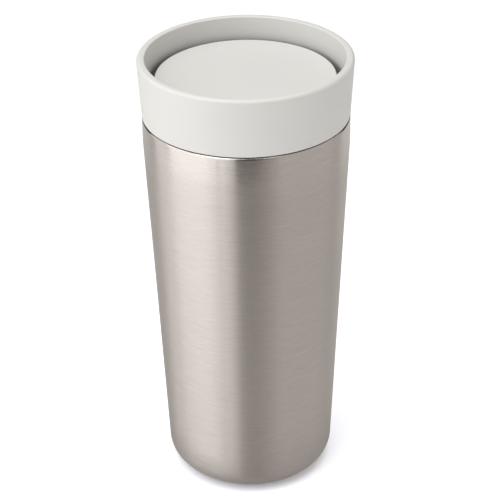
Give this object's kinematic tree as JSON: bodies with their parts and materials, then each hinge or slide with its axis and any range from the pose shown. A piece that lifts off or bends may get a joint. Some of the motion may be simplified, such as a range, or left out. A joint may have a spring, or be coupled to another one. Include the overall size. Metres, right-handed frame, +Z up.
{
  "type": "insulated travel mug",
  "caption": "Tapered double-wall steel travel mug with a screw-in lid that opens all round its rim when the sunken round button is pressed.",
  "frame": {"origin": "centre of the base, on the surface the mug stands on", "axes": "+Z up along the mug's axis, -Y towards the viewer, +X to the right"},
  "size_m": [0.0812, 0.0812, 0.178],
  "materials": {
    "shell_steel": "fine brushing round the body, satin",
    "liner_steel": "electropolished inside, satin",
    "base_steel": "pressed sheet, satin",
    "solder": "solidified solder, dull",
    "getter_alloy": "sintered, matt dark grey",
    "lid_plastic": "light warm grey, fine moulded texture",
    "plug_plastic": "dark charcoal, moulded",
    "latch_plastic": "white acetal, smooth",
    "silicone": "translucent grey silicone",
    "spring_steel": "drawn stainless wire"
  },
  "bodies": {
    "flask": {"outer_shell": "shell_steel", "inner_liner": "liner_steel", "base_plate": "base_steel", "base_cover": "base_steel", "vacuum_seal_bead": "solder", "getter_clip": "base_steel", "getter_pellet": "getter_alloy"},
    "lid_seal": {"lid_gasket": "silicone"},
    "lid": {"drinking_collar": "lid_plastic", "threaded_plug": "plug_plastic", "latch_housing": "latch_plastic", "latch_cap": "latch_plastic", "stem_oring": "silicone", "spring_seat": "spring_steel", "return_spring": "spring_steel"},
    "button": {"button_cap": "lid_plastic", "button_stem": "latch_plastic", "valve_plate": "plug_plastic", "valve_seal": "silicone", "valve_clip": "spring_steel"},
    "rotor": {"latch_rotor": "latch_plastic"}
  },
  "joints": [
    {"name": "lid_lift", "type": "slide", "parent": "flask", "child": "lid_seal", "axis": [0, 0, 1], "range_m": [0, 0.0304]},
    {"name": "lid_turn", "type": "hinge", "parent": "lid_seal", "child": "lid", "pos_m": [0, 0, 0.15], "axis": [0, 0, 1], "range_deg": [0, 810]},
    {"name": "button_press", "type": "slide", "parent": "lid", "child": "button", "axis": [0, 0, 1], "range_m": [-0.0045, 0], "stiffness_N_per_m": 450, "springref_m": 0.0045, "deforming": ["return_spring"]},
    {"name": "latch_turn", "type": "hinge", "parent": "button", "child": "rotor", "pos_m": [0, 0, 0.152], "axis": [0, 0, 1], "range_deg": [0, 22.6]}
  ],
  "couplings": [
    {"joint": "lid_lift", "follows": "lid_turn", "m_per_rad": 0.0021486},
    {"joint": "latch_turn", "follows": "button_press", "rad_per_m": -87.266}
  ]
}
